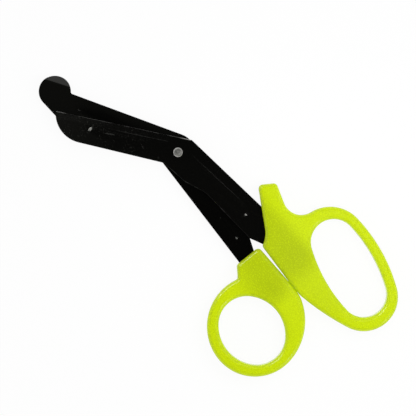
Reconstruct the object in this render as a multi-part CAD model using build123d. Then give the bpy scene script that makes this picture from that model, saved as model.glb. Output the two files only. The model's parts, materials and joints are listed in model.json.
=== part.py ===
from build123d import *
from math import atan2, cos, degrees, radians, sin, sqrt, tan
import os

# Bandage scissors: two cranked sheet-steel blades on a rivet, with moulded handles on their tangs.
# Lengths are in millimetres and angles in degrees. The closed scissors are laid out about the pivot:
# +X runs towards the handles, +Y towards the finger handle and +Z out of the upper blade's face.
# The finished pieces are moved so that the origin lies under the middle of their box.

# Sheet of both blades
BLADE_THICKNESS = 1.6
BLADE_GAP = 0.06  # running gap between the blades' inner faces

# Blade ends: headings of the cutting edges and spines, and how far they pass from the pivot
BLADE_ANGLE = 34.1  # crank of the closed blades from the handle axis
EDGE_ANGLE = 4.85  # each cutting edge's heading from the blade axis
SPINE_ANGLE = 3.4  # each spine's heading from the blade axis
UPPER_EDGE_OFFSET = 6.8
UPPER_SPINE_OFFSET = 6.19
LOWER_EDGE_OFFSET = 5.5
LOWER_SPINE_OFFSET = 8.25
BLADE_LENGTH = 58.3  # pivot to the upper blade's point, along its edge
NOSE_RADIUS = 13.6
POINT_ROUND = 0.3
POINT_SETBACK = 1.0  # of the lower edge's end

# Shanks, from the pivot boss to the tangs in the handles
SHANK_ANGLE = 2.9
OUTER_ANGLE = 4.4  # outer edges' heading from the shank axis
INNER_ANGLE = 2.15  # inner edges' heading from the shank axis
OUTER_OFFSET = 8.4
BOSS_ANGLE = 6.3
BOSS_OFFSET = 7.9
BOSS_LENGTH = 12.0  # where the boss edge turns in to the shank
SHANK_REACH = 22.3  # where the shank's straight inner edge starts
SHOULDER_REACH = 51.0  # where the tang starts to narrow
SHOULDER_RISE = 0.8  # inner edges' height over the pivot at the shoulder
TANG_ANGLE = 22.0  # slope of the step down to the tang
TANG_STEP = 4.6
TANG_LENGTH = 24.0  # beyond the shoulder
TANG_ROUND = 3.2
TANG_HOLE = 3.4  # lets the moulding run through the tang
TANG_HOLE_INSET = 5.5  # tang's end to the hole's centre
SHANK_ROUND = 10.0  # soft turns of the shanks' inner edges
CRANK_ROUND = 1.5

# Cutting edges: a shallow grind on the outer faces, a steep honed bevel and the lower edge's teeth
GRIND_WIDTH = 2.9
GRIND_DEPTH = 0.45  # taken off at the edge
HONE_WIDTH = 0.5
EDGE_LAND = 0.25  # thickness left at the edge
EDGE_BREAK = 0.2  # on the other outer edges
GRIND_END = 7.0  # the edge's root to the grind's end
GRIND_RUNOUT = 4.0  # length of the slanted end
TOOTH_PITCH = 1.0
TOOTH_DEPTH = 0.4

# Pressed ribs: raised on the outer faces, hollow on the inner ones
RIB_CROWN = 3.2  # width of its flat top
RIB_HEIGHT = 0.45
RIB_FADE = 0.42  # height lost towards the pivot
RIB_SLOPE_ANGLE = 68.0  # of its walls, from the vertical
UPPER_RIB_START, UPPER_RIB_END = 42.1, 16.0  # from the pivot, along the blade
LOWER_RIB_START, LOWER_RIB_END = 50.6, 17.0
UPPER_SHANK_RIB_START = 5.6  # from the pivot, along the shank
UPPER_SHANK_RIB_END = 8.6  # short of the shoulder
UPPER_SHANK_RIB_INSET = 7.6  # outer edge to the rib's middle
LOWER_SHANK_RIB_LENGTH = 15.6
LOWER_SHANK_RIB_END = 2.2
LOWER_SHANK_RIB_INSET = 5.7

# Round foot at the lower blade's tip, with its ski bent down to the level of the handles' undersides
FOOT_RADIUS = 7.3
FOOT_REACH = 62.2  # pivot to the foot's centre, along the spine
FOOT_INSET = 1.7  # centre inside the spine
FOOT_BEND_ANGLE = 51.0
FOOT_SKEW_ANGLE = 2.7  # fold's heading from the spine
FOLD_ROUND = 1.0
FOOT_NOTCH_ROUND = 1.0

# Rivet
RIVET_DIAMETER = 3.4
PIVOT_CLEARANCE = 0.03
RIVET_HEAD_DIAMETER = 4.2
RIVET_HEAD_HEIGHT = 0.55
RIVET_DISH_DIAMETER = 3.0
RIVET_DISH_DEPTH = 0.15
RIVET_BACK_DIAMETER = 6.4
RIVET_BACK_HEIGHT = 1.2

# Both handles
HANDLE_THICKNESS = 10.4
EDGE_ROUND = 1.9
ROUND_LIMIT = 0.42  # of the wall that it runs along
CORNER_ROUND = 2.0  # seen from above
STOP_GAP = 0.04  # left between the closed handles
STOP_HEIGHT = 2.15  # of the handles' meeting line over the pivot
STOP_LENGTH = 7.7  # where they lie side by side
WEDGE_ANGLE = 2.05  # slope of each inner edge ahead of that
STOP_ROUND = 15.0

# Thumb handle
THUMB_SET = 5.5  # the blade's shoulder to its flat front
THUMB_NECK = 11.13  # front to hole
THUMB_WEB = 12.68  # hole to inner edge
THUMB_HOLE_WIDTH = 28.6
THUMB_HOLE_STRETCH = 4.3  # longer than wide
THUMB_HOLE_TUCK = 1.4  # end radius short of half the width
THUMB_RIM = 5.7
THUMB_CHIN = 1.52  # the front's lower corner, under the blade
THUMB_NOTCH = (5.3, 3.8)  # from that corner to where the ring starts
NOTCH_ROUND = 1.2
RING_FRONT, RING_HEEL, RING_BACK = 7.1, 4.85, 10.8  # outer arcs' radii beyond the hole's half length
RING_LEAN = (0.5, 0.6)  # heel arc and stop corner ahead of the hole's centre

# Finger handle
FINGER_SET = 6.1  # the blade's shoulder to the inner corner of its front
FINGER_NECK = 8.7  # lip to hole
FINGER_WEB = 13.02  # hole to the meeting line
FINGER_HOLE_WIDTH = 24.0
FINGER_HOLE_STRETCH = 24.2
FINGER_HOLE_TUCK = 1.58
FINGER_HOLE_ANGLE = -9.2
FINGER_RIM = 4.75
BROW_WALL, HEEL_WALL = 6.45, 5.2  # end rounds' radii beyond the hole's
BROW_ANGLE, HEEL_ANGLE = 0.5, 1.0
PALM_RADIUS = 112.8
STOP_SET = 27.9  # lip to stop corner
SCOOP_DEPTH, SCOOP_HEIGHT = 5.2, 5.9  # concave stretch between the lip and the straight front
FRONT_ANGLE = -30.0
TONGUE_LENGTH = 9.9  # finger rest beyond the shank's edge
TONGUE_WIDTH = 8.4
TONGUE_TOP_ANGLE = 57.0
TONGUE_BACK_ANGLE = -17.8
VALLEY_RADIUS = 8.3

UP = Vector(0, 0, 1)
sheet_inner = BLADE_GAP / 2
sheet_outer = sheet_inner + BLADE_THICKNESS
tang_reach = SHOULDER_REACH + TANG_LENGTH
thumb_front = SHOULDER_REACH + THUMB_SET
finger_lip = SHOULDER_REACH + FINGER_SET
stop_reach = finger_lip + STOP_SET
meet_reach = stop_reach - STOP_LENGTH
UPPER, LOWER = 1, -1


# Plane geometry

def heading(angle):
    """Unit vector at an angle from +X."""
    return Vector(cos(radians(angle)), sin(radians(angle)))


def left_of(direction):
    return Vector(-direction.Y, direction.X)


def angle_of(vector):
    return degrees(atan2(vector.Y, vector.X))


def line_by_pivot(angle, offset):
    """A line as a point and a direction; it passes the pivot at this offset on its left."""
    return left_of(heading(angle)) * offset, heading(angle)


def crossing(first, second):
    (start, along), (other, across) = first, second
    gap = other - start
    scale = along.X * across.Y - along.Y * across.X
    return start + along * ((gap.X * across.Y - gap.Y * across.X) / scale)


def height_at(line, x):
    start, along = line
    return Vector(x, start.Y + along.Y / along.X * (x - start.X))


def side_centre(first, first_radius, second, second_radius, radius, side):
    """Centre of the arc that touches two circles from outside, on the given side of their axis."""
    axis = second - first
    reach_one = radius - first_radius
    reach_two = radius - second_radius
    along = (axis.length**2 + reach_one**2 - reach_two**2) / (2 * axis.length)
    across = sqrt(reach_one**2 - along**2)
    return first + axis.normalized() * along + left_of(axis.normalized()) * across * side


def arc(centre, radius, start, end):
    """Arc about a centre, from one heading to another; it turns clockwise where the end is smaller."""
    return CenterArc(centre, radius, start, end - start)


def rounded(sketch, corners):
    """Round a sketch's corners, each given as a point and a radius."""
    for point, radius in corners:
        sketch = fillet(sketch.vertices().sort_by_distance(point)[0], radius)
    return sketch


def plate(sketch, side):
    """The sheet of one blade, its outer edges broken: the upper one lies above the parting plane."""
    sheet = Pos(0, 0, side * sheet_inner) * extrude(sketch, BLADE_THICKNESS * side)
    outer_face = sheet.faces().sort_by(Axis.Z)[-1 if side == UPPER else 0]
    return chamfer(outer_face.outer_wire().edges(), EDGE_BREAK)


def oval(centre, angle, width, stretch, tuck):
    """A four-arc oval, with its side radius, end radius and half the distance between its ends."""
    end_radius = width / 2 - tuck
    half = stretch / 2 + tuck
    side_radius = (width + stretch) / 2 + stretch**2 / (8 * tuck)
    axis = heading(angle)
    front, heel = centre - axis * half, centre + axis * half
    above = centre + left_of(axis) * (side_radius - width / 2)
    below = centre - left_of(axis) * (side_radius - width / 2)
    up_front, up_heel = angle_of(front - below), angle_of(heel - below)
    down_front, down_heel = angle_of(front - above), angle_of(heel - above)
    outline = make_face([
        arc(below, side_radius, up_heel, up_front),
        arc(front, end_radius, up_front, down_front + 360),
        arc(above, side_radius, down_front, down_heel),
        arc(heel, end_radius, down_heel, up_heel),
    ])
    return outline, below, side_radius, end_radius, up_front, up_heel


# Lines that the blades and the handles share

def edge_line(side):
    offset = UPPER_EDGE_OFFSET if side == UPPER else -LOWER_EDGE_OFFSET
    return line_by_pivot(BLADE_ANGLE + side * EDGE_ANGLE, offset)


def spine_line(side):
    offset = -UPPER_SPINE_OFFSET if side == UPPER else LOWER_SPINE_OFFSET
    return line_by_pivot(BLADE_ANGLE + side * SPINE_ANGLE, offset)


def outer_line(side):
    return line_by_pivot(SHANK_ANGLE + side * OUTER_ANGLE, side * OUTER_OFFSET)


def boss_line(side):
    return line_by_pivot(SHANK_ANGLE + side * BOSS_ANGLE, -side * BOSS_OFFSET)


def inner_line(side):
    return Vector(SHOULDER_REACH, SHOULDER_RISE), heading(SHANK_ANGLE + side * INNER_ANGLE)


def stop_line(side):
    """Stretch of a handle's inner edge that stops the closing."""
    return Vector(meet_reach, STOP_HEIGHT + side * STOP_GAP / 2), heading(0)


def wedge_line(side):
    """Inner edge of a handle ahead of the stop, where the two edges draw apart."""
    return stop_line(side)[0], heading(-side * WEDGE_ANGLE)


# Blades

def shank_points(side):
    """Outline of a shank and its tang, from the cutting edge's root round to the spine's root."""
    shoulder, along = inner_line(side)
    tang_end = (Vector(tang_reach, 0), heading(90))
    tang_line = (shoulder + left_of(along) * side * TANG_STEP, along)
    step_line = (shoulder, heading(SHANK_ANGLE + side * (INNER_ANGLE + TANG_ANGLE)))
    return {
        "root": crossing(edge_line(side), outer_line(side)),
        "tang_outer": crossing(outer_line(side), tang_end),
        "tang_inner": crossing(tang_line, tang_end),
        "step": crossing(step_line, tang_line),
        "shoulder": shoulder,
        "shank": height_at(inner_line(side), SHANK_REACH),
        "boss": height_at(boss_line(side), BOSS_LENGTH),
        "crank": crossing(boss_line(side), spine_line(side)),
    }


def shank_rounds(points):
    return [
        (points["tang_outer"], TANG_ROUND),
        (points["tang_inner"], TANG_ROUND),
        (points["step"], CRANK_ROUND),
        (points["shoulder"], CRANK_ROUND),
        (points["shank"], SHANK_ROUND),
        (points["boss"], SHANK_ROUND),
    ]


def tang_hole(side):
    points = shank_points(side)
    middle = (points["tang_outer"] + points["tang_inner"]) / 2
    return Pos(middle - heading(SHANK_ANGLE) * TANG_HOLE_INSET) * Circle(TANG_HOLE / 2)


def rib(outer, inner, side):
    """A pressed rib that fades towards its inner end: what it adds outside and takes off inside."""
    axis = inner - outer
    fade = degrees(atan2(RIB_FADE, axis.length))
    place = Pos(outer) * Rot(0, 0, angle_of(axis)) * Rot(0, fade, 0) * Pos(axis.length / 2)
    width = RIB_CROWN + 2 * RIB_HEIGHT * tan(radians(RIB_SLOPE_ANGLE))
    hollow_width = width - 2 * BLADE_THICKNESS * tan(radians(RIB_SLOPE_ANGLE / 2))
    raised = SlotCenterToCenter(axis.length - width, width)
    hollow = SlotCenterToCenter(axis.length - width, hollow_width)
    swell = place * extrude(raised, RIB_HEIGHT, taper=RIB_SLOPE_ANGLE)
    recess = place * extrude(hollow, RIB_HEIGHT, taper=RIB_SLOPE_ANGLE)
    if side == LOWER:
        swell = mirror(swell, Plane.XY)
        recess = mirror(recess, Plane.XY)
    return Pos(0, 0, side * sheet_outer) * swell, Pos(0, 0, side * sheet_inner) * recess


def blade_rib(side, start, end):
    """Rib along the middle of a blade, between two distances from the pivot."""
    (edge_point, edge_along), (spine_point, spine_along) = edge_line(side), spine_line(side)
    middle = (edge_point + spine_point) / 2
    along = (edge_along + spine_along) / 2
    return rib(middle - along * start, middle - along * end, side)


def shank_rib(side):
    """Rib along the shank, beside its outer edge; the upper one is longer."""
    start, along = outer_line(side)
    if side == UPPER:
        inset = UPPER_SHANK_RIB_INSET
        outer = SHOULDER_REACH - UPPER_SHANK_RIB_END
        inner = UPPER_SHANK_RIB_START
    else:
        inset = LOWER_SHANK_RIB_INSET
        outer = SHOULDER_REACH - LOWER_SHANK_RIB_END
        inner = outer - LOWER_SHANK_RIB_LENGTH
    middle = start - left_of(along) * side * inset
    return rib(middle + along * outer, middle + along * inner, side)


def ground_off(side, width, low, high):
    """What a wheel takes off the outer face: the height left rises from low to high over a width."""
    along = edge_line(side)[1]
    slope = left_of(along) * -side * width + UP * (high - low) * side
    edge_end = shank_points(side)["root"] - along * GRIND_END + UP * side * (sheet_inner + low)
    face = Plane(origin=edge_end, x_dir=along, z_dir=along.cross(slope))
    reach = 2 * slope.length
    runout = 2 * GRIND_RUNOUT
    length = 2 * BLADE_LENGTH
    strip = Polygon((runout, -reach), (-runout, reach), (-length, reach), (-length, -reach), align=None)
    outwards = side if face.z_dir.Z > 0 else -side
    return extrude(face * strip, outwards * 2 * BLADE_THICKNESS)


def sharpened(sheet, side):
    """Grind a blade's cutting edge, then hone it."""
    ground = BLADE_THICKNESS - GRIND_DEPTH
    honed = ground + GRIND_DEPTH * HONE_WIDTH / GRIND_WIDTH
    sheet = sheet - ground_off(side, GRIND_WIDTH, ground, BLADE_THICKNESS)
    return sheet - ground_off(side, HONE_WIDTH, EDGE_LAND, honed)


def teeth(first, last, inward):
    """Row of V notches along the lower cutting edge."""
    along = (last - first).normalized()
    count = int((last - first).length / TOOTH_PITCH)
    points = [first - inward * TOOTH_DEPTH]
    for number in range(count):
        points.append(first + along * number * TOOTH_PITCH)
        points.append(first + along * (number + 0.5) * TOOTH_PITCH + inward * TOOTH_DEPTH)
    points.append(first + along * count * TOOTH_PITCH)
    points.append(first + along * count * TOOTH_PITCH - inward * TOOTH_DEPTH)
    return Polygon(*points, align=None)


def pressed(sheet, ribs):
    for swell, recess in ribs:
        sheet = sheet + swell - recess
    return sheet


def rivet_bore():
    return Circle(RIVET_DIAMETER / 2 + PIVOT_CLEARANCE)


def upper_blade():
    points = shank_points(UPPER)
    edge_start, edge_along = edge_line(UPPER)
    spine_start, spine_along = spine_line(UPPER)
    tip = edge_start - edge_along * BLADE_LENGTH
    width = (tip - spine_start).dot(left_of(spine_along))
    foot_of_tip = tip - left_of(spine_along) * width
    nose = foot_of_tip + spine_along * sqrt(NOSE_RADIUS**2 - (NOSE_RADIUS - width) ** 2)
    outline = make_face([
        *Polyline(tip, *points.values(), nose).edges(),
        *TangentArc(nose, tip, tangent=-spine_along).edges(),
    ])
    rounds = [(tip, POINT_ROUND), (points["crank"], CRANK_ROUND), *shank_rounds(points)]
    outline = rounded(outline, rounds) - rivet_bore() - tang_hole(UPPER)
    sheet = sharpened(plate(outline, UPPER), UPPER)
    return pressed(sheet, [blade_rib(UPPER, UPPER_RIB_START, UPPER_RIB_END), shank_rib(UPPER)])


def foot_frame():
    """Centre of the round foot, the heading of its fold and the fold's distance from the centre."""
    spine_start, along = spine_line(LOWER)
    centre = spine_start - along * FOOT_REACH - left_of(along) * FOOT_INSET
    fold_along = heading(BLADE_ANGLE - SPINE_ANGLE + FOOT_SKEW_ANGLE)
    drop = HANDLE_THICKNESS / 2 - sheet_inner - BLADE_THICKNESS * cos(radians(FOOT_BEND_ANGLE))
    fold = FOOT_RADIUS - drop / tan(radians(FOOT_BEND_ANGLE))
    return centre, fold_along, fold


def ski():
    """The foot's bent tab: from above, its outline carries on the foot's circle."""
    centre, along, fold = foot_frame()
    outward = left_of(along)
    down_slope = outward * cos(radians(FOOT_BEND_ANGLE)) - UP * sin(radians(FOOT_BEND_ANGLE))
    lean = cos(radians(FOOT_BEND_ANGLE))
    origin = centre + outward * fold - UP * sheet_inner
    face = Plane(origin=origin, x_dir=along, z_dir=along.cross(down_slope))
    reach = 2 * FOOT_RADIUS / lean
    foot = Pos(0, -fold / lean) * Ellipse(FOOT_RADIUS, FOOT_RADIUS / lean)
    tab = foot & Pos(0, reach / 2) * Rectangle(reach, reach)
    return extrude(face * tab, -BLADE_THICKNESS)


def foot_plate():
    """The foot's round part in the blade's plane, cut straight at the fold."""
    centre, along, fold = foot_frame()
    beyond = Pos(centre + left_of(along) * (fold + FOOT_RADIUS)) * Rot(0, 0, angle_of(along))
    return Pos(centre) * Circle(FOOT_RADIUS) - beyond * Rectangle(4 * FOOT_RADIUS, 2 * FOOT_RADIUS)


def lower_blade():
    points = shank_points(LOWER)
    spine_start, spine_along = spine_line(LOWER)
    edge_start, edge_along = edge_line(LOWER)
    centre = foot_frame()[0]
    tip = edge_start - edge_along * (BLADE_LENGTH - POINT_SETBACK)
    to_tip = tip - centre
    swing = degrees(atan2(sqrt(to_tip.length**2 - FOOT_RADIUS**2), FOOT_RADIUS))
    heel = centre + heading(angle_of(to_tip) - swing) * FOOT_RADIUS
    spine_end = spine_start - spine_along * (FOOT_REACH - FOOT_RADIUS / 2)
    blade = make_face(Polyline(tip, *points.values(), spine_end, centre, heel, close=True).edges())
    rounds = [(points["crank"], SHANK_ROUND), (points["root"], CRANK_ROUND), *shank_rounds(points)]
    outline = rounded(blade, rounds) + foot_plate()
    notch = spine_start - spine_along * (FOOT_REACH - sqrt(FOOT_RADIUS**2 - FOOT_INSET**2))
    outline = rounded(outline, [(notch, FOOT_NOTCH_ROUND)])
    first = tip + edge_along * GRIND_WIDTH
    last = points["root"] - edge_along * GRIND_END
    sheet = sharpened(plate(outline - rivet_bore() - tang_hole(LOWER), LOWER), LOWER)
    sheet = sheet - extrude(teeth(first, last, left_of(edge_along)), -sheet_outer)
    sheet = pressed(sheet, [blade_rib(LOWER, LOWER_RIB_START, LOWER_RIB_END), shank_rib(LOWER)])
    sheet = sheet + ski()
    fold_middle = centre + left_of(foot_frame()[1]) * foot_frame()[2] - UP * sheet_inner
    return fillet(sheet.edges().sort_by_distance(fold_middle)[0], FOLD_ROUND)


# Rivet

def pivot_rivet():
    """Shank, spun head over the upper blade and domed head under the lower one, as one turned piece."""
    head_seat = sheet_outer + PIVOT_CLEARANCE
    head_top = head_seat + RIVET_HEAD_HEIGHT
    shank = RIVET_DIAMETER / 2
    head = RIVET_HEAD_DIAMETER / 2
    dish = RIVET_DISH_DIAMETER / 2
    back = RIVET_BACK_DIAMETER / 2
    profile = make_face([
        *TangentArc((0, -sheet_outer - RIVET_BACK_HEIGHT), (back, -sheet_outer), tangent=(1, 0)).edges(),
        *Polyline((back, -sheet_outer), (shank, -sheet_outer), (shank, head_seat), (head, head_seat),
                  (head, head_seat + RIVET_HEAD_HEIGHT / 2),
                  (head - RIVET_HEAD_HEIGHT / 2, head_top), (dish, head_top)).edges(),
        *TangentArc((0, head_top - RIVET_DISH_DEPTH), (dish, head_top), tangent=(1, 0)).edges(),
        *Line((0, head_top - RIVET_DISH_DEPTH), (0, -sheet_outer - RIVET_BACK_HEIGHT)).edges(),
    ])
    return revolve(Plane.XZ * profile, Axis.Z)


# Handles

def moulded(outline, hole, thinnest_wall, blade):
    """A handle: its outline as a thick slab with round edges, moulded round a blade's tang."""
    slab = extrude(outline - hole, HANDLE_THICKNESS / 2, both=True)
    faces = slab.edges().group_by(Axis.Z)
    slab = fillet(faces[0] + faces[-1], min(EDGE_ROUND, ROUND_LIMIT * thinnest_wall))
    return slab - blade


def thumb_handle(blade):
    half_width = THUMB_HOLE_WIDTH / 2
    half_length = half_width + THUMB_HOLE_STRETCH / 2
    centre = Vector(thumb_front + THUMB_NECK + half_length, STOP_HEIGHT - THUMB_WEB - half_width)
    chin = height_at(outer_line(LOWER), thumb_front) - Vector(0, THUMB_CHIN)
    brow = height_at(wedge_line(LOWER), thumb_front)
    meet = stop_line(LOWER)[0]
    notch = chin + Vector(THUMB_NOTCH[0], -THUMB_NOTCH[1])
    stop = height_at(stop_line(LOWER), centre.X + RING_LEAN[1])
    front_radius = half_length + RING_FRONT
    heel_radius = half_length + RING_HEEL
    back_radius = half_length + RING_BACK
    heel = Vector(centre.X + RING_LEAN[0], centre.Y - half_width - THUMB_RIM + heel_radius)
    back = side_centre(stop, 0, heel, heel_radius, back_radius, -1)
    front = side_centre(notch, 0, heel, heel_radius, front_radius, 1)
    back_touch = angle_of(heel - back)
    front_touch = angle_of(heel - front)
    outline = make_face([
        *Polyline(notch, chin, brow, meet, stop).edges(),
        arc(back, back_radius, angle_of(stop - back), back_touch),
        arc(heel, heel_radius, back_touch, front_touch),
        arc(front, front_radius, front_touch, angle_of(notch - front) - 360),
    ])
    rounds = [(chin, CORNER_ROUND), (brow, CORNER_ROUND), (stop, STOP_ROUND), (notch, NOTCH_ROUND)]
    hole = oval(centre, 0, THUMB_HOLE_WIDTH, THUMB_HOLE_STRETCH, THUMB_HOLE_TUCK)[0]
    return moulded(rounded(outline, rounds), hole, min(THUMB_RIM, RING_HEEL), blade)


def finger_hole():
    """The long slanted hole, as the oval and the values that its rim follows."""
    axis = heading(FINGER_HOLE_ANGLE)
    half_width = FINGER_HOLE_WIDTH / 2
    end_radius = half_width - FINGER_HOLE_TUCK
    half = FINGER_HOLE_STRETCH / 2 + FINGER_HOLE_TUCK
    front = finger_lip + FINGER_NECK
    centre = Vector(front + half * axis.X + end_radius, STOP_HEIGHT + FINGER_WEB + half_width)
    return oval(centre, FINGER_HOLE_ANGLE, FINGER_HOLE_WIDTH, FINGER_HOLE_STRETCH, FINGER_HOLE_TUCK)


def finger_handle(blade):
    hole, below, side_radius, end_radius, up_front, up_heel = finger_hole()
    crown_radius = side_radius + FINGER_RIM
    brow_radius = end_radius + BROW_WALL
    heel_radius = end_radius + HEEL_WALL
    brow_touch = up_front + BROW_ANGLE
    heel_touch = up_heel - HEEL_ANGLE
    brow = below + heading(brow_touch) * (crown_radius - brow_radius)
    heel = below + heading(heel_touch) * (crown_radius - heel_radius)

    stop = height_at(stop_line(UPPER), stop_reach)
    lip = height_at(wedge_line(UPPER), finger_lip)
    meet = stop_line(UPPER)[0]
    palm = side_centre(stop, 0, heel, heel_radius, PALM_RADIUS, 1)
    palm_touch = angle_of(heel - palm)

    front_along = heading(FRONT_ANGLE)
    front_foot = lip + Vector(-SCOOP_DEPTH, SCOOP_HEIGHT)
    tongue_front = crossing((front_foot, front_along), outer_line(UPPER)) - front_along * TONGUE_LENGTH
    tongue_back = tongue_front + heading(TONGUE_TOP_ANGLE) * TONGUE_WIDTH
    back_along = heading(TONGUE_BACK_ANGLE)
    back_up = left_of(back_along)
    drop = (tongue_back - brow).dot(back_up) + VALLEY_RADIUS
    valley = brow + back_up * drop - back_along * sqrt((brow_radius + VALLEY_RADIUS) ** 2 - drop**2)
    valley_touch = angle_of(valley - brow)

    outline = make_face([
        *Polyline(tongue_back, tongue_front, front_foot).edges(),
        *TangentArc(front_foot, lip, tangent=front_along).edges(),
        *Polyline(lip, meet, stop).edges(),
        arc(palm, PALM_RADIUS, angle_of(stop - palm), palm_touch),
        arc(heel, heel_radius, palm_touch, heel_touch),
        arc(below, crown_radius, heel_touch, brow_touch),
        arc(brow, brow_radius, brow_touch, valley_touch),
        arc(valley, VALLEY_RADIUS, valley_touch - 180, TONGUE_BACK_ANGLE - 90),
        *Line(valley - back_up * VALLEY_RADIUS, tongue_back).edges(),
    ])
    rounds = [(corner, CORNER_ROUND) for corner in (tongue_front, tongue_back, lip)] + [(stop, STOP_ROUND)]
    return moulded(rounded(outline, rounds), hole, min(FINGER_RIM, HEEL_WALL), blade)


# Assembly

upper = upper_blade()
lower = lower_blade()
pieces = {
    "upper_blade": upper,
    "lower_blade": lower,
    "pivot_rivet": pivot_rivet(),
    "finger_handle": finger_handle(upper),
    "thumb_handle": thumb_handle(lower),
}
box = Compound(children=[Part(piece.wrapped) for piece in pieces.values()]).bounding_box()
pivot = -Vector(box.center().X, box.center().Y, box.min.Z)

os.makedirs("parts", exist_ok=True)
for name, piece in pieces.items():
    export_step(Pos(pivot) * piece, f"parts/{name}.step")
print("pivot", pivot, "size", box.size)
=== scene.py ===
# %% [markdown]
# Bandage scissors, dressed for a picture
#
# The scissors are two black pressed-steel blades on one rivet, with lime plastic handles moulded on.
# Their solids come ready from a CAD model, in metres, so nothing is moved or resized here. What is
# left is what a photographer and a finisher would do: a camera, a table, the light and the surfaces.

# %% Load the scissors
import json
from math import cos, radians, sin
from types import SimpleNamespace

import bpy
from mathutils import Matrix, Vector


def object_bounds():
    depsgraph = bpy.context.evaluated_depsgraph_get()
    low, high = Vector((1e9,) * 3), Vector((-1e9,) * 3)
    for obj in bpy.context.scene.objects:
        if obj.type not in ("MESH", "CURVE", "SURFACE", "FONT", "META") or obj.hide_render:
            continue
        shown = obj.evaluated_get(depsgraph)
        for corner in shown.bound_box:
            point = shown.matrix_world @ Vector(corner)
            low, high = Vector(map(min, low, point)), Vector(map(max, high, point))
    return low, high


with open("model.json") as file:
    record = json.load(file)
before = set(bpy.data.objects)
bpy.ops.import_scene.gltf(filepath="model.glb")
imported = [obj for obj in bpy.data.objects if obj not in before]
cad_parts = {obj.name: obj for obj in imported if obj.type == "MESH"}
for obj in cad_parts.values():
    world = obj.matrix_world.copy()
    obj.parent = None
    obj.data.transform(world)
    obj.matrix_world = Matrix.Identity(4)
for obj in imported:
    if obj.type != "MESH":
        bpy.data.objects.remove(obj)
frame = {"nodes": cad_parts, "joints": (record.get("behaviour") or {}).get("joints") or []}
cad_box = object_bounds()
nodes = frame["nodes"]
hinge = frame["joints"][0]

MM = 0.001
PIVOT = Vector(hinge["pos_m"])
print("pieces:", sorted(nodes), "pivot:", [round(c / MM, 2) for c in PIVOT], "mm")

# %% [markdown]
# The camera
#
# The picture is taken from straight above, with the scissors lying slantwise in a square frame. A
# camera that looks straight down needs no tilt, only a turn about its own axis. One without
# perspective would do too, but a long lens from 1.2 m away is what a photographer would use, and it
# keeps the outline almost as flat as a drawing.

# %% Camera
PHOTO_FIELD = 189.1 * MM
PHOTO_CENTRE = PIVOT + Vector((28.24, -5.32, 0.8)) * MM
PHOTO_TURN = radians(51)
CAMERA_DISTANCE = 1.2
SENSOR_WIDTH = 36.0

bpy.ops.object.select_all(action="DESELECT")
bpy.ops.object.camera_add(
    location=PHOTO_CENTRE + Vector((0, 0, CAMERA_DISTANCE)), rotation=(0, 0, PHOTO_TURN))
camera = bpy.context.object
camera.data.sensor_width = SENSOR_WIDTH
camera.data.lens = SENSOR_WIDTH * CAMERA_DISTANCE / PHOTO_FIELD
bpy.context.scene.camera = camera
print("lens:", round(camera.data.lens, 1), "mm")

# %% [markdown]
# Wiring helpers
#
# Every finish below is a small net of shader nodes. These helpers add a node, set its options and
# feed its sockets, each with a number, a colour or another node's output, in one readable call. Many
# of the values are masks, which run from 0 to 1 and say where a mark is.

# %% Helpers for nodes
def feed(tree, socket, value):
    """Link a socket to another node's output, or set its value."""
    if isinstance(value, bpy.types.NodeSocket):
        tree.links.new(value, socket)
    else:
        socket.default_value = value


def add_node(tree, kind, feeds=None, **settings):
    """Add a shader node with its settings, and feed the named or numbered sockets."""
    made = tree.nodes.new("ShaderNode" + kind)
    for name, value in settings.items():
        setattr(made, name, value)
    for key, value in (feeds or {}).items():
        feed(tree, made.inputs[key], value)
    return made


print("helpers for nodes ready")

# %% Helpers for values, masks and colours
def maths(tree, operation, first, second=0.0):
    """Result of one Math node."""
    return add_node(tree, "Math", {0: first, 1: second}, operation=operation).outputs[0]


def times(tree, product, *values):
    """Product of values; of masks, it is full only where all of them are."""
    for value in values:
        product = maths(tree, "MULTIPLY", product, value)
    return product


def greatest(tree, most, *values):
    """Greatest of values; of masks, it is full where any of them is."""
    for value in values:
        most = maths(tree, "MAXIMUM", most, value)
    return most


def ramp(tree, value, start, end, low=0.0, high=1.0):
    """Smooth step of a value, from low at start to high at end."""
    feeds = {"Value": value, "From Min": start, "From Max": end, "To Min": low, "To Max": high}
    return add_node(tree, "MapRange", feeds, interpolation_type="SMOOTHSTEP").outputs[0]


def mixed(tree, factor, first, second):
    """Mix of two colours."""
    return add_node(tree, "Mix", {0: factor, 6: first, 7: second}, data_type="RGBA").outputs[2]


print("helpers for values, masks and colours ready")

# %% [markdown]
# The light table
#
# The scissors lie on a white table. White paint alone would turn grey wherever the lamps fall off, and
# a table that only glows would show no shadow. So most of what the camera and the reflections see is
# a plain white glow of strength 1, and the rest is lit paint, which keeps a soft shadow under the
# handles. The table lies a hair below the scissors, so that no two faces share a plane.

# %% White table
TABLE_SIZE = 6.0
TABLE_DROP = 0.05 * MM
TABLE_WHITE = (0.95, 0.95, 0.95, 1)
GLOW_SHARE, GLOW_STRENGTH = 0.93, 1.0


def seen_rays(tree):
    """Mask of the rays that make the picture: straight from the camera, mirrored or let through."""
    rays = add_node(tree, "LightPath").outputs
    return greatest(tree, rays["Is Camera Ray"], rays["Is Glossy Ray"], rays["Is Transmission Ray"])


bpy.ops.object.select_all(action="DESELECT")
bpy.ops.mesh.primitive_plane_add(size=TABLE_SIZE, location=(0, 0, -TABLE_DROP))
table = bpy.context.object
table.name = "table"

white = bpy.data.materials.new("white_table")
white.use_nodes = True
tree = white.node_tree
tree.nodes.clear()
paint = add_node(tree, "BsdfDiffuse", {"Color": TABLE_WHITE}).outputs[0]
glow = add_node(tree, "Emission", {"Strength": GLOW_STRENGTH}).outputs[0]
share = times(tree, seen_rays(tree), GLOW_SHARE)
cover = add_node(tree, "MixShader", {0: share, 1: paint, 2: glow}).outputs[0]
add_node(tree, "OutputMaterial", {"Surface": cover})
table.data.materials.append(white)
print("table:", TABLE_SIZE, "m")

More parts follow.
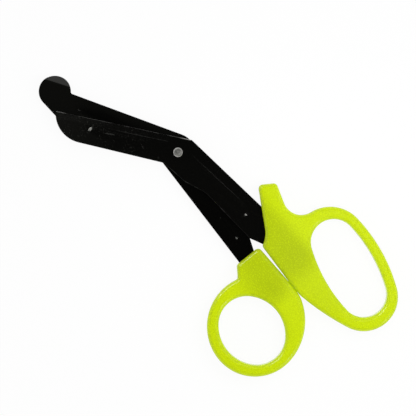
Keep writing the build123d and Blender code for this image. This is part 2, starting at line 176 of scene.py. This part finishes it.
# %% [markdown]
# The lamps
#
# A softbox hangs high on the finger handle's side. It is near, so the thumb ring gets a little less
# light. Mirrored in the flat blades it would turn them grey, so it is hidden from mirrored rays, as a
# crossed polarising sheet would do. Two lamps at the scissors' ends do the opposite: they are there
# only to be mirrored, as glints by the round ends of the pressed ribs and as fine pale lines by the
# rounded edges of the handles.

# %% Softbox and two end lamps
def add_lamp(name, side, height, distance, size, power):
    """Lamp that looks at the middle of the scissors; side and height are angles, in degrees."""
    flat, up = cos(radians(height)), sin(radians(height))
    towards = Vector((cos(radians(side)) * flat, sin(radians(side)) * flat, up))
    turn = towards.to_track_quat("Z", "Y").to_euler()
    bpy.ops.object.select_all(action="DESELECT")
    bpy.ops.object.light_add(type="AREA", location=towards * distance, rotation=turn)
    lamp = bpy.context.object
    lamp.name = name
    lamp.data.shape = "RECTANGLE"
    lamp.data.size, lamp.data.size_y = size
    lamp.data.energy = power
    return lamp


softbox = add_lamp("softbox", side=46, height=64, distance=0.19, size=(0.1, 0.1), power=0.115)
softbox.visible_glossy = False
end_lamps = (
    add_lamp("blade_end_lamp", side=186, height=46, distance=0.6, size=(0.26, 0.12), power=1.5),
    add_lamp("handle_end_lamp", side=8, height=45, distance=2.0, size=(0.4, 0.25), power=5.0),
)
for lamp in end_lamps:
    lamp.visible_diffuse = False
print("lamps:", softbox.name, [lamp.name for lamp in end_lamps])

# %% [markdown]
# The room
#
# Product pictures are taken in a white tent with a dark opening for the lens. The tent lights matt
# plastic evenly from all sides, while polished black mirrors the opening straight above it, which is
# why the blades look black. A tent could be modelled, but one world does the same: what the camera
# sees, directly or mirrored, is a dark ceiling that turns white towards the horizon, and every other
# ray finds the even tent.

# %% Room
ROOM_WHITE = (1, 1, 1, 1)
TENT = 0.76
CEILING, WALL = 0.024, 1.0
WALL_TOP, CEILING_EDGE = 0.05, 0.75

world = bpy.data.worlds.new("room")
bpy.context.scene.world = world
world.use_nodes = True
tree = world.node_tree
tree.nodes.clear()
direction = add_node(tree, "TexCoord").outputs["Generated"]
height = add_node(tree, "SeparateXYZ", {0: direction}).outputs["Z"]
shade = ramp(tree, height, WALL_TOP, CEILING_EDGE, WALL, CEILING)
change = times(tree, seen_rays(tree), maths(tree, "SUBTRACT", shade, TENT))
strength = maths(tree, "ADD", change, TENT)
room = add_node(tree, "Background", {"Color": ROOM_WHITE, "Strength": strength}).outputs[0]
add_node(tree, "OutputWorld", {"Surface": room})

bpy.context.scene.view_settings.view_transform = "Standard"
print("tent:", TENT, "ceiling:", CEILING, "wall:", WALL)

# %% [markdown]
# Shared effects
#
# Three effects serve more than one finish, so each is a node group: a ruler that measures along and
# across any line on the part, a soft oval patch, and grain. The same nodes could be wired into every
# material, but a group is built and mended only once. All three read object coordinates, which are
# the CAD model's own metres, so a pattern stays put when the blades swing.

# %% Helpers for groups
def new_group(name, inputs, outputs):
    """An empty shader node group with its sockets, and its two end nodes."""
    group = bpy.data.node_groups.new(name, "ShaderNodeTree")
    for socket, kind in inputs.items():
        group.interface.new_socket(socket, in_out="INPUT", socket_type="NodeSocket" + kind)
    for socket, kind in outputs.items():
        group.interface.new_socket(socket, in_out="OUTPUT", socket_type="NodeSocket" + kind)
    return group, group.nodes.new("NodeGroupInput").outputs, group.nodes.new("NodeGroupOutput").inputs


def local_place(tree, ins):
    """A point of the part, seen from a start point and turned by an angle about Z."""
    shifted = add_node(tree, "VectorMath", {0: ins["Point"], 1: ins["Start"]}, operation="SUBTRACT")
    back = maths(tree, "MULTIPLY", ins["Angle"], -1.0)
    feeds = {"Vector": shifted.outputs[0], "Angle": back}
    return add_node(tree, "VectorRotate", feeds, rotation_type="Z_AXIS").outputs[0]


print("helpers for groups ready")

# %% Ruler, patch and grain groups
PLACE_SOCKETS = {"Point": "Vector", "Start": "Vector", "Angle": "Float"}
PATCH_SOCKETS = {**PLACE_SOCKETS, "Size": "Vector"}
GRAIN_SOCKETS = {"Point": "Vector", "Size": "Float", "Detail": "Float"}

ruler, ins, outs = new_group("ruler", PLACE_SOCKETS, {"Along": "Float", "Across": "Float"})
parts = add_node(ruler, "SeparateXYZ", {0: local_place(ruler, ins)}).outputs
feed(ruler, outs["Along"], parts["X"])
feed(ruler, outs["Across"], parts["Y"])

patch, ins, outs = new_group("patch", PATCH_SOCKETS, {"Mask": "Float"})
feeds = {0: local_place(patch, ins), 1: ins["Size"]}
scaled = add_node(patch, "VectorMath", feeds, operation="DIVIDE").outputs[0]
reach = add_node(patch, "VectorMath", {0: scaled}, operation="LENGTH").outputs["Value"]
feed(patch, outs["Mask"], ramp(patch, reach, 1.0, 0.0))

grain, ins, outs = new_group("grain", GRAIN_SOCKETS, {"Value": "Float"})
scale = maths(grain, "DIVIDE", 1.0, ins["Size"])
feeds = {"Vector": ins["Point"], "Scale": scale, "Detail": ins["Detail"]}
feed(grain, outs["Value"], add_node(grain, "TexNoise", feeds).outputs[0])
print("groups:", [group.name for group in bpy.data.node_groups])

# %% Groups in use
def use_group(tree, group, feeds):
    """Place a group in a material; its sockets are fed by name."""
    made = tree.nodes.new("ShaderNodeGroup")
    made.node_tree = group
    for key, value in feeds.items():
        feed(tree, made.inputs[key], value)
    return made.outputs


def measure(tree, point, start, angle):
    """Along and Across of a point on a ruler with this start and this heading in degrees."""
    return use_group(tree, ruler, {"Point": point, "Start": start, "Angle": radians(angle)})


def oval(tree, point, middle, angle, half):
    """Mask of a soft oval patch with this heading in degrees and these half sizes in millimetres."""
    size = (half[0] * MM, half[1] * MM, 1.0)
    feeds = {"Point": point, "Start": middle, "Angle": radians(angle), "Size": size}
    return use_group(tree, patch, feeds)["Mask"]


def grains(tree, point, size, detail=2.0):
    """Value of the grain, with lumps of about this size."""
    return use_group(tree, grain, {"Point": point, "Size": size, "Detail": detail})["Value"]


GROUPS = (ruler, patch, grain)
print("sockets:", {group.name: len(group.interface.items_tree) for group in GROUPS})

# %% [markdown]
# Materials and places
#
# A finish starts with an empty material, and its marks have to be put where they are on the real
# scissors. They could be placed in the model's own metres, but a maker would measure them from the
# rivet, so places here are millimetres from it, or lines that pass it at a distance. How flat a
# surface lies is the third thing that finishes ask for.

# %% Materials and places on the part
def new_material(name):
    """A material with its Principled shader and the part's own coordinates."""
    material = bpy.data.materials.new(name)
    material.use_nodes = True
    tree = material.node_tree
    tree.nodes.clear()
    shader = tree.nodes.new("ShaderNodeBsdfPrincipled")
    add_node(tree, "OutputMaterial", {"Surface": shader.outputs[0]})
    return material, tree, shader.inputs, add_node(tree, "TexCoord").outputs["Object"]


def from_pivot(along, across):
    """A point given in millimetres from the rivet."""
    return Vector((PIVOT.x + along * MM, PIVOT.y + across * MM, 0))


def beside_pivot(angle, offset):
    """The nearest point to the rivet on a line with this heading, so many millimetres to its left."""
    return from_pivot(-sin(radians(angle)) * offset, cos(radians(angle)) * offset)


def flatness(tree):
    """1 where a surface lies flat, facing up or down, and 0 where it stands on edge."""
    normal = add_node(tree, "NewGeometry").outputs["Normal"]
    return maths(tree, "ABSOLUTE", add_node(tree, "SeparateXYZ", {0: normal}).outputs["Z"])


print("rivet at", [round(c / MM, 2) for c in from_pivot(0, 0)], "mm")

# %% [markdown]
# Lime handles
#
# The handles are injection-moulded plastic. Light soaks into it, so the steel tangs inside shade the
# necks. Real scattering round hidden steel is slow to render, so the shade is drawn: two rulers along
# its soft borders and one at its end mark it off, and two soft ovals deepen it on the necks. Two
# fainter, larger ovals are painted shade on the finger handle's palm side and on the thumb ring.

# %% Lime colours and the shade of the tangs
LIME_LIGHT = (0.56, 0.71, 0.001, 1)
LIME_DEEP = (0.415, 0.535, 0.001, 1)
LIME_SHADE = (0.395, 0.507, 0.001, 1)
TANG_END, TANG_END_BLUR = 79, 7.0 * MM
TANG_EDGES = (  # heading, distance from the rivet in millimetres, and blur
    (3.0, 14.7, 4.0 * MM),
    (-1.5, -10.9, 6.0 * MM),
)
SHADED_SPOTS = (  # middle, half sizes in millimetres, and strength
    (from_pivot(70.0, 11.0), (12, 10), 1.0),
    (from_pivot(75.0, -5.5), (10, 8), 1.0),
    # The last two ovals are fainter painted shade, away from the tangs.
    (from_pivot(94.0, 7.0), (26, 16), 0.32),
    (from_pivot(80.0, -14.0), (30, 10), 0.4),
)

lime, tree, sockets, point = new_material("lime_plastic")
past_end = measure(tree, point, from_pivot(TANG_END, 0), 0)["Along"]
shade = ramp(tree, past_end, TANG_END_BLUR, -TANG_END_BLUR)
for angle, offset, blur in TANG_EDGES:
    across = measure(tree, point, beside_pivot(angle, offset), angle)["Across"]
    inwards = 1 if offset < 0 else -1
    shade = times(tree, shade, ramp(tree, across, -inwards * blur, inwards * blur))
colour = mixed(tree, shade, LIME_LIGHT, LIME_DEEP)
for middle, half, strength in SHADED_SPOTS:
    spot = times(tree, oval(tree, point, middle, 0, half), strength)
    colour = mixed(tree, spot, colour, LIME_SHADE)
print("lime with", len(SHADED_SPOTS), "shaded spots")

# %% [markdown]
# Skin of the plastic
#
# The mould was spark-eroded, which gives the plastic a fine, flecked skin, and a thin raised line half
# way up the sides is where the mould parted. Modelled, a skin this fine would take millions of faces.
# So one grain flecks the colour and another varies the gloss and lifts the surface in a bump, to which
# the parting line is added.

# %% Flecks and gloss
LIME_FLECK = (0.78, 0.94, 0.008, 1)
FLECK_GRAIN = 0.55 * MM
PALE_FLECKS, PALE_STRENGTH = (0.45, 0.75), 0.42
DARK_FLECKS, DARK_STRENGTH = (0.5, 0.25), 0.4
SKIN_GRAIN, SKIN_RANGE = 0.4 * MM, (0.2, 0.8)
SKIN_ROUGHNESS = (0.2, 0.28)
SKIN_SPECULAR = 0.08

fleck = grains(tree, point, FLECK_GRAIN)
colour = mixed(tree, ramp(tree, fleck, *PALE_FLECKS, 0.0, PALE_STRENGTH), colour, LIME_FLECK)
colour = mixed(tree, ramp(tree, fleck, *DARK_FLECKS, 0.0, DARK_STRENGTH), colour, LIME_SHADE)
feed(tree, sockets["Base Color"], colour)
skin = grains(tree, point, SKIN_GRAIN)
feed(tree, sockets["Roughness"], ramp(tree, skin, *SKIN_RANGE, *SKIN_ROUGHNESS))
sockets["Specular IOR Level"].default_value = SKIN_SPECULAR
print("flecks:", round(FLECK_GRAIN / MM, 2), "mm, skin:", round(SKIN_GRAIN / MM, 2), "mm")

# %% Raised skin and parting line
SEAM_HEIGHT = (cad_box[0][2] + cad_box[1][2]) / 2
SEAM_WIDTH = 0.25 * MM
SKIN_DEPTH, SKIN_BUMP = 0.05 * MM, 0.35

height = add_node(tree, "SeparateXYZ", {0: point}).outputs["Z"]
from_seam = maths(tree, "ABSOLUTE", maths(tree, "SUBTRACT", height, SEAM_HEIGHT))
relief = maths(tree, "ADD", skin, ramp(tree, from_seam, SEAM_WIDTH, 0.0))
bump = add_node(tree, "Bump", {"Height": relief, "Strength": SKIN_BUMP, "Distance": SKIN_DEPTH})
feed(tree, sockets["Normal"], bump.outputs[0])
print("parting line:", round(SEAM_HEIGHT / MM, 2), "mm up")

# %% [markdown]
# Rounded edges of the plastic
#
# Surfaces that lean over get a painted glow, a faint emission of the plastic's own colour that
# stands in for light leaving through its sides. The rounded edges also mirror the lamps at both ends,
# as fine pale lines. Glow and lines could be drawn along the edges in a map, but they depend only on
# how flat a surface lies, so the normal places them. The lines come from a thin clear coat that the
# level faces lack.

# %% Painted glow and shine
LIME_PAINTED_GLOW = (0.05, 0.06, 0.002, 1)
NO_PAINTED_GLOW = (0, 0, 0, 1)
PAINTED_GLOW_LEAN = (0.95, 0.3)
SHINE_LEAN, SHINE_WEIGHT = (0.998, 0.92), 0.5
SHINE_ROUGHNESS = 0.2

flat = flatness(tree)
# Painted light: leaning surfaces give off the plastic's own colour as emission.
feed(tree, sockets["Emission Color"], mixed(tree, ramp(tree, flat, *PAINTED_GLOW_LEAN), NO_PAINTED_GLOW, LIME_PAINTED_GLOW))
sockets["Emission Strength"].default_value = 1.0
feed(tree, sockets["Coat Weight"], ramp(tree, flat, *SHINE_LEAN, 0.0, SHINE_WEIGHT))
sockets["Coat Roughness"].default_value = SHINE_ROUGHNESS

HANDLES = ("finger_handle", "thumb_handle")
for name in HANDLES:
    nodes[name].material_slots[0].material = lime
print("lime plastic on", HANDLES)

# %% [markdown]
# Black blades
#
# The steel is pressed from sheet, ground along its edges and then coated black. One even black would
# look like plastic, so every mark of use, and some painted light, shade and highlight, is a mask that
# mixes another colour into the coat. Painted maps would blur close up; these masks stay sharp. A ruler
# along each cutting edge places what runs with the edge, soft ovals place what sits at one spot, and
# grain keeps the marks from looking even.

# %% Facts of the two blades
# Angles are in degrees and lengths in millimetres. An edge's offset from the rivet and its side of the
# blade are positive on the left of its heading, and its root is how far out the honed line begins.
# Wear, painted light and specks run from 0 to 1.
BLADES = {
    "upper_blade": SimpleNamespace(
        edge_angle=38.95, edge_offset=6.8, edge_side=1, edge_root=-5.0,
        rib=from_pivot(-24.0, -17.4), rib_angle=35.8,
        end_wear=1.0, spine_painted_light=0.1, specks=1.0, specular=0.35,
        scratches_and_highlight=(  # middle, heading, half sizes and strength
            (from_pivot(-25.9, -18.8), 41, (3.2, 0.45), 0.55),
            (from_pivot(-12.2, -10.9), -8, (1.8, 0.25), 0.35),
            (from_pivot(-3.7, -8.5), 0, (0.5, 0.5), 0.35),
            # The last is no scratch but a painted highlight along the upper edge of the shank's rib.
            (from_pivot(20.5, 6.39), 8, (21.0, 0.25), 0.25),
        )),
    "lower_blade": SimpleNamespace(
        edge_angle=29.25, edge_offset=-5.5, edge_side=-1, edge_root=7.4,
        rib=from_pivot(-31.0, -16.0), rib_angle=28.0,
        end_wear=0.65, spine_painted_light=0.5, specks=0.0, specular=0.2,
        scratches_and_highlight=()),
}
print("blades:", {name: len(blade.scratches_and_highlight) for name, blade in BLADES.items()}, "scratches_and_highlight")

# %% Place on a blade
FINE_GRAIN, BROAD_GRAIN = 0.4 * MM, 4 * MM


def edge_place(tree, point, blade):
    """What the masks of a blade read: how far in from its edge and out along it, and two grains."""
    place = measure(tree, point, beside_pivot(blade.edge_angle, blade.edge_offset), blade.edge_angle)
    return SimpleNamespace(
        point=point,
        from_edge=times(tree, place["Across"], -blade.edge_side),
        out_along=times(tree, place["Along"], -1.0),
        fine=grains(tree, point, FINE_GRAIN),
        broad=grains(tree, point, BROAD_GRAIN),
    )


print("grains:", round(FINE_GRAIN / MM, 2), "and", round(BROAD_GRAIN / MM, 2), "mm")

# %% [markdown]
# Worn coat, painted light and painted shade
#
# Handling has dulled the black towards the blades' tips. The coat is also lighter towards the
# spines, which is painted light, and kept black along the long ribs, which is painted shade. Loose
# clouds of pale specks lie on the upper blade. Hard borders would look like stickers, so each of these
# is a smooth step: along the ruler, across an oval or through the grain.

# %% Worn and specked coat with painted light and shade
COAT_BLACK = (0.0009, 0.0009, 0.0007, 1)
COAT_DULL_AND_PAINTED_LIGHT = (0.0045, 0.0045, 0.0037, 1)
COAT_SPECK = (0.015, 0.015, 0.013, 1)
BLADE_LENGTH = 58.3 * MM
WEAR_START = 24 * MM
SPINE_PAINTED_LIGHT = (7 * MM, 13 * MM)
RIB_SHADE_HALF, RIB_SHADE_BORDER = (20.0, 4.5), (0.0, 0.5)
SPECK_GRAIN, SPECK_DETAIL = 0.7 * MM, 1.0
SPECK_RANGE, SPECK_CLOUDS = (0.57, 0.72), (0.38, 0.58)
SPECK_REACH = (8 * MM, 30 * MM)


def worn_and_painted_coat(tree, at, blade):
    """Colour of the coat: worn, specked, painted light at the spine and painted shade on the rib."""
    worn_end = ramp(tree, at.out_along, WEAR_START, BLADE_LENGTH, 0.0, blade.end_wear)
    # Lighter towards the spine: painted light.
    painted_spine_light = ramp(tree, at.from_edge, *SPINE_PAINTED_LIGHT, 0.0, blade.spine_painted_light)
    # Kept black along the rib: painted shade.
    rib = oval(tree, at.point, blade.rib, blade.rib_angle, RIB_SHADE_HALF)
    outside_rib_shade = ramp(tree, rib, *RIB_SHADE_BORDER, 1.0, 0.0)
    wear_and_painted_light = times(tree, greatest(tree, worn_end, painted_spine_light), outside_rib_shade)
    specks = times(
        tree,
        ramp(tree, grains(tree, at.point, SPECK_GRAIN, SPECK_DETAIL), *SPECK_RANGE),
        ramp(tree, at.broad, *SPECK_CLOUDS),
        ramp(tree, at.out_along, *SPECK_REACH, 0.0, blade.specks),
    )
    return mixed(tree, specks, mixed(tree, wear_and_painted_light, COAT_BLACK, COAT_DULL_AND_PAINTED_LIGHT), COAT_SPECK)


print("wear from", round(WEAR_START / MM, 1), "to", round(BLADE_LENGTH / MM, 1), "mm out")

# %% [markdown]
# Cuts in the coat and a painted highlight
#
# The border of the grind is a ridge, so its coat is rubbed, and a few scratches cut through the coat
# elsewhere. One long thin oval on the upper shank is a painted highlight along the edge of its rib.
# Grooves this fine would be lost in the mesh, so they are drawn: a narrow band at one distance from
# the edge, and small ovals, most of them long and thin. The grain breaks them up, because no scratch
# is even.

# %% Rubbed border, scratches and a painted highlight
COAT_CUT_AND_HIGHLIGHT = (0.05, 0.05, 0.047, 1)
GRIND_BORDER, RUB_HALF, RUB_STRENGTH = 2.9 * MM, 0.2 * MM, 0.35
RUB_ROOT, RUB_END = (5 * MM, 7 * MM), (36 * MM, 24 * MM)
PATCHY = (0.3, 0.5)
SCRATCH_AND_HIGHLIGHT_BORDER, SCRATCH_AND_HIGHLIGHT_BREAKS = (0.0, 0.4), (0.4, 0.55)


def cuts_and_highlight(tree, at, blade):
    """Mask of the rubbed border, the scratches and the painted highlight along the shank's rib."""
    from_border = maths(tree, "ABSOLUTE", maths(tree, "SUBTRACT", at.from_edge, GRIND_BORDER))
    cut_and_highlight = times(
        tree,
        ramp(tree, from_border, RUB_HALF, 0.0, 0.0, RUB_STRENGTH),
        ramp(tree, at.broad, *PATCHY),
        ramp(tree, at.out_along, *RUB_END),
        ramp(tree, at.out_along, *RUB_ROOT),
    )
    for middle, angle, half, strength in blade.scratches_and_highlight:
        scratch_and_highlight = oval(tree, at.point, middle, angle, half)
        scratch_and_highlight = ramp(tree, scratch_and_highlight, *SCRATCH_AND_HIGHLIGHT_BORDER, 0.0, strength)
        cut_and_highlight = greatest(tree, cut_and_highlight, times(tree, scratch_and_highlight, ramp(tree, at.fine, *SCRATCH_AND_HIGHLIGHT_BREAKS)))
    return cut_and_highlight


print("rubbed border:", round(GRIND_BORDER / MM, 2), "mm in from the edge")

# %% [markdown]
# Honed edge
#
# Honing leaves a hairline of bare steel along each cutting edge. It is bright at the tips and, on the
# upper blade, beside the rivet, and only traces of it show elsewhere. A second material would start
# and stop at the border of a face, while a mask can fade along the edge.

# %% Hairline of bare steel
BARE_STEEL, BARE_METAL = (0.5, 0.49, 0.47, 1), 0.7
HAIRLINE, HAIRLINE_BLUR = 0.2 * MM, 0.12 * MM
EDGE_OVERHANG, ROOT_BLUR = 1 * MM, 1 * MM
TRACE_RANGE, TRACE_STRENGTH = (0.35, 0.6), (0.02, 0.12)
BARE_TIP = 6 * MM
BARE_ROOT = (2 * MM, -3 * MM)


def honed_edge(tree, at, blade):
    """Mask of the bare steel along the cutting edge."""
    root = blade.edge_root * MM
    hairline = times(
        tree,
        ramp(tree, at.from_edge, HAIRLINE + HAIRLINE_BLUR, HAIRLINE),
        ramp(tree, at.from_edge, -EDGE_OVERHANG, 0.0),
        ramp(tree, at.out_along, root, root + ROOT_BLUR),
    )
    bare = greatest(
        tree,
        ramp(tree, at.broad, *TRACE_RANGE, *TRACE_STRENGTH),
        ramp(tree, at.out_along, BLADE_LENGTH - BARE_TIP, BLADE_LENGTH),
        ramp(tree, at.out_along, *BARE_ROOT),
    )
    return times(tree, hairline, bare)


print("hairline:", round(HAIRLINE / MM, 2), "mm wide")

# %% [markdown]
# Gloss of the coat
#
# The coat is smooth and mirrors the dark ceiling, blurred a little by its grain. Two places differ.
# The sheared edges of the shanks are rough in patches. The ribs fade out near the rivet so gently that
# they catch no glint, and rather than change the mesh, soft ovals turn the normals upright there.

# %% Roughness and rib ends
COAT_RANGE, COAT_ROUGHNESS = (0.3, 0.7), (0.17, 0.25)
SHEARED_LEAN, SHANK_START = (0.9, 0.75), (8 * MM, 3 * MM)
RIB_ENDS = (from_pivot(-14.0, -10.6), from_pivot(6.0, 1.4))
RIB_END_HALF, RIB_END_BORDER = (2.5, 2.5), (0.0, 0.4)
RIB_END_LEAN = 0.03


def coat_roughness(tree, at):
    """Roughness of the coat, full where the leaning edges of a shank were sheared."""
    polished = ramp(tree, at.fine, *COAT_RANGE, *COAT_ROUGHNESS)
    leaning = ramp(tree, flatness(tree), *SHEARED_LEAN)
    on_shank = ramp(tree, at.out_along, *SHANK_START)
    return greatest(tree, polished, times(tree, leaning, on_shank, ramp(tree, at.broad, *PATCHY)))


def flat_rib_ends(tree, at):
    """Normal of the surface, with little lean left at the ribs' faded ends."""
    lean = 1.0
    for middle in RIB_ENDS:
        faded = oval(tree, at.point, middle, 0, RIB_END_HALF)
        lean = times(tree, ramp(tree, faded, *RIB_END_BORDER, 1.0, RIB_END_LEAN), lean)
    lean = add_node(tree, "CombineXYZ", {"X": lean, "Y": lean, "Z": 1.0}).outputs[0]
    normal = add_node(tree, "NewGeometry").outputs["Normal"]
    flatter = add_node(tree, "VectorMath", {0: normal, 1: lean}, operation="MULTIPLY").outputs[0]
    return add_node(tree, "VectorMath", {0: flatter}, operation="NORMALIZE").outputs[0]


print("rib ends flattened:", len(RIB_ENDS))

# %% [markdown]
# The whole coat
#
# The parts above are joined into one material for each blade. A single material could not serve both,
# because each cutting edge has its own ruler, so one function builds the two from their facts.

# %% Coat the blades
COAT_TINT = (1.0, 1.0, 0.92, 1)
COAT_DEPTH, COAT_BUMP = 0.03 * MM, 0.12


def black_coat(name, blade):
    """One blade: worn coat, painted light and shade, cuts, painted highlight, honed edge and gloss."""
    material, tree, sockets, point = new_material(name + "_coat")
    at = edge_place(tree, point, blade)
    colour = mixed(tree, cuts_and_highlight(tree, at, blade), worn_and_painted_coat(tree, at, blade), COAT_CUT_AND_HIGHLIGHT)
    honed = honed_edge(tree, at, blade)
    feed(tree, sockets["Base Color"], mixed(tree, honed, colour, BARE_STEEL))
    feed(tree, sockets["Metallic"], times(tree, honed, BARE_METAL))
    feed(tree, sockets["Roughness"], coat_roughness(tree, at))
    sockets["Specular IOR Level"].default_value = blade.specular
    sockets["Specular Tint"].default_value = COAT_TINT
    feeds = {"Height": at.fine, "Strength": COAT_BUMP, "Distance": COAT_DEPTH}
    feeds["Normal"] = flat_rib_ends(tree, at)
    feed(tree, sockets["Normal"], add_node(tree, "Bump", feeds).outputs[0])
    return material


for name, blade in BLADES.items():
    nodes[name].material_slots[0].material = black_coat(name, blade)
print("black coat on", list(BLADES))

# %% [markdown]
# Rivet
#
# The rivet is bare steel, spun over at the front. The tool leaves a dark, mottled middle and polishes
# the rim. Two materials would meet in a sharp ring, so one material blends a dull steel into a bright
# one through a soft patch at the rivet's centre.

# %% Spun steel
RIVET_RIM = (0.75, 0.74, 0.71, 1)
RIVET_DULL = (0.45, 0.45, 0.42, 1)
RIVET_DARK = (0.32, 0.32, 0.3, 1)
RIVET_MIDDLE, MIDDLE_BORDER = (2.7, 2.7), (0.1, 0.4)
MOTTLE_GRAIN, MOTTLE_DETAIL = 0.8 * MM, 3.0
MOTTLE_SPOTS = (0.42, 0.6)
MOTTLE_RANGE, MOTTLE_ROUGHNESS = (0.3, 0.7), (0.4, 0.6)
MOTTLE_DEPTH, MOTTLE_BUMP = 0.08 * MM, 0.5

spun, tree, sockets, point = new_material("spun_steel")
mottle = grains(tree, point, MOTTLE_GRAIN, MOTTLE_DETAIL)
middle = ramp(tree, oval(tree, point, from_pivot(0, 0), 0, RIVET_MIDDLE), *MIDDLE_BORDER)
dull = mixed(tree, ramp(tree, mottle, *MOTTLE_SPOTS), RIVET_DARK, RIVET_DULL)
feed(tree, sockets["Base Color"], mixed(tree, middle, RIVET_RIM, dull))
sockets["Metallic"].default_value = 1.0
feed(tree, sockets["Roughness"], ramp(tree, mottle, *MOTTLE_RANGE, *MOTTLE_ROUGHNESS))
bump = add_node(tree, "Bump", {"Height": mottle, "Strength": MOTTLE_BUMP, "Distance": MOTTLE_DEPTH})
feed(tree, sockets["Normal"], bump.outputs[0])
nodes["pivot_rivet"].material_slots[0].material = spun
print("spun steel on the rivet")

# %% [markdown]
# Size and finish
#
# The looks leave the scissors' size as the CAD model gave it, since nothing here moves or resizes
# them.

print("scissors dressed")
